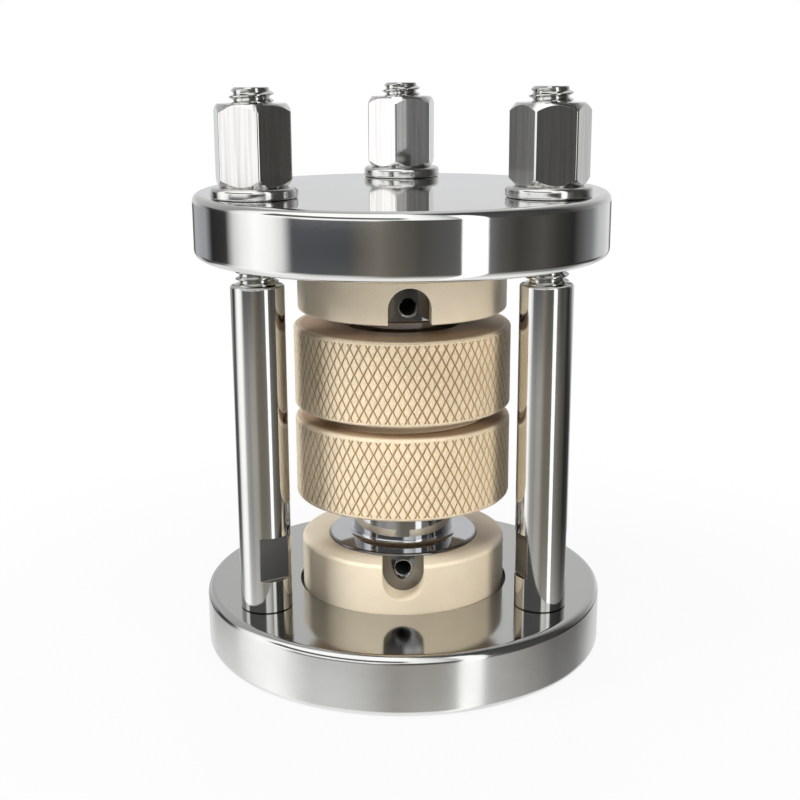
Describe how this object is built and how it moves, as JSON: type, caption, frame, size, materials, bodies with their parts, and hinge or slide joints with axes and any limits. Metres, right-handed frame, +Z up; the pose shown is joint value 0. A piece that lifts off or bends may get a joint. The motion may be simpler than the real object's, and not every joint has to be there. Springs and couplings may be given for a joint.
{
  "type": "solid-state battery test mold",
  "caption": "Test cell for solid-state batteries: two electrodes in a sealed sleeve with knurled ring nuts, clamped between round plates by three posts and nuts.",
  "frame": {"origin": "centre of the base plate's underside", "axes": "+Z up along the posts, -Y towards the lead sockets"},
  "size_m": [0.08, 0.08, 0.1106],
  "materials": {
    "satin_steel": "turned, satin",
    "polished_steel": "turned and polished",
    "post_steel": "ground and polished",
    "washer_steel": "stamped, tumbled",
    "nut_steel": "bright, drawn",
    "electrode_chrome": "mirror polished",
    "insulator": "turned, natural beige",
    "knurled_insulator": "knurled, natural beige",
    "thrust_plastic": "turned, white",
    "seal_rubber": "moulded, black"
  },
  "bodies": {
    "base": {"base_plate": "satin_steel", "post_left": "post_steel", "post_right": "post_steel", "post_back": "post_steel", "lower_cup": "insulator", "lower_electrode": "electrode_chrome"},
    "plate": {"top_plate": "polished_steel", "washer_left": "washer_steel", "washer_right": "washer_steel", "washer_back": "washer_steel", "upper_cup": "insulator", "upper_electrode": "electrode_chrome"},
    "nut_left": {"hex_nut_left": "nut_steel"},
    "nut_right": {"hex_nut_right": "nut_steel"},
    "nut_back": {"hex_nut_back": "nut_steel"},
    "cell": {"cell_sleeve": "insulator", "lower_seal": "seal_rubber", "upper_seal": "seal_rubber"},
    "lower_gland": {"lower_thrust_ring": "thrust_plastic"},
    "lower_ring": {"lower_ring_nut": "knurled_insulator"},
    "upper_gland": {"upper_thrust_ring": "thrust_plastic"},
    "upper_ring": {"upper_ring_nut": "knurled_insulator"}
  },
  "joints": [
    {"name": "nut_left_turn", "type": "hinge", "parent": "plate", "child": "nut_left", "pos_m": [-0.02667, -0.0154, 0.0932], "axis": [0, 0, 1], "range_deg": [0, 2520]},
    {"name": "nut_right_turn", "type": "hinge", "parent": "plate", "child": "nut_right", "pos_m": [0.02667, -0.0154, 0.0932], "axis": [0, 0, 1], "range_deg": [0, 2520]},
    {"name": "nut_back_turn", "type": "hinge", "parent": "plate", "child": "nut_back", "pos_m": [0, 0.0308, 0.0932], "axis": [0, 0, 1], "range_deg": [0, 2520]},
    {"name": "plate_lift", "type": "slide", "parent": "base", "child": "plate", "axis": [0, 0, 1], "range_m": [0, 0.00875]},
    {"name": "cell_slide", "type": "slide", "parent": "base", "child": "cell", "axis": [0, 0, 1], "range_m": [-0.0035, 0.0005]},
    {"name": "lower_gland_slide", "type": "slide", "parent": "cell", "child": "lower_gland", "axis": [0, 0, 1], "range_m": [-0.0045, 0]},
    {"name": "lower_ring_turn", "type": "hinge", "parent": "lower_gland", "child": "lower_ring", "pos_m": [0, 0, 0.0389], "axis": [0, 0, 1], "range_deg": [-1080, 0]},
    {"name": "upper_gland_slide", "type": "slide", "parent": "cell", "child": "upper_gland", "axis": [0, 0, 1], "range_m": [0, 0.0015]},
    {"name": "upper_ring_turn", "type": "hinge", "parent": "upper_gland", "child": "upper_ring", "pos_m": [0, 0, 0.0573], "axis": [0, 0, 1], "range_deg": [0, 360]}
  ],
  "couplings": [
    {"joint": "nut_left_turn", "follows": "plate_lift", "rad_per_m": 5026.5},
    {"joint": "nut_right_turn", "follows": "plate_lift", "rad_per_m": 5026.5},
    {"joint": "nut_back_turn", "follows": "plate_lift", "rad_per_m": 5026.5},
    {"joint": "lower_gland_slide", "follows": "lower_ring_turn", "m_per_rad": 0.00023873},
    {"joint": "upper_gland_slide", "follows": "upper_ring_turn", "m_per_rad": 0.00023873}
  ]
}
